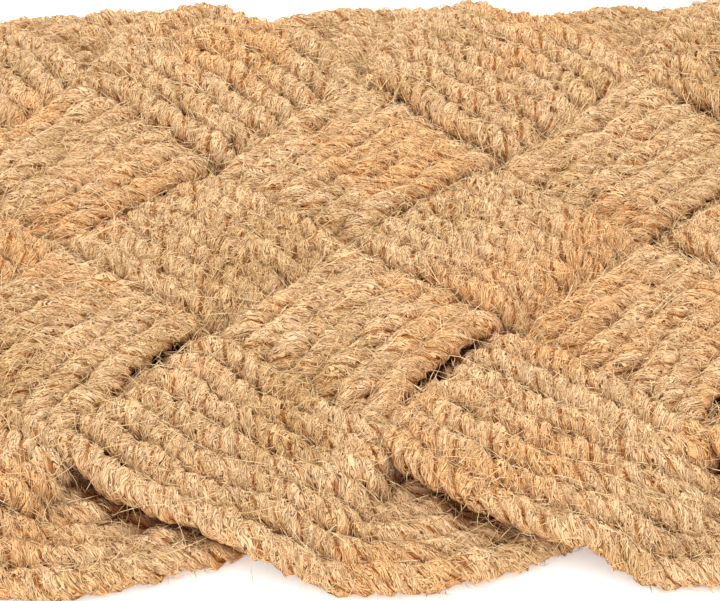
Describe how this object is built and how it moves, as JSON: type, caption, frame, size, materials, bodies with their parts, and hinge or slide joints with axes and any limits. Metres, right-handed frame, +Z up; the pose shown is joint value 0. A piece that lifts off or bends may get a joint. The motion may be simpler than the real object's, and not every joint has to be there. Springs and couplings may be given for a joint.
{
  "type": "plaited coir door mat",
  "caption": "Rectangular door mat plaited from one flat band of side-by-side coir ropes, over and under itself, with rounded lobes along its sides.",
  "frame": {"origin": "centre of the underside, on the floor", "axes": "+X along the length, +Y across the width from front to back, +Z up out of the face that is stepped on"},
  "size_m": [0.75, 0.45, 0.0267],
  "materials": {
    "coir_rope": "rough twisted coir rope with loose fibres, matt"
  },
  "bodies": {
    "root": {"rope_band": "coir_rope"}
  },
  "joints": []
}
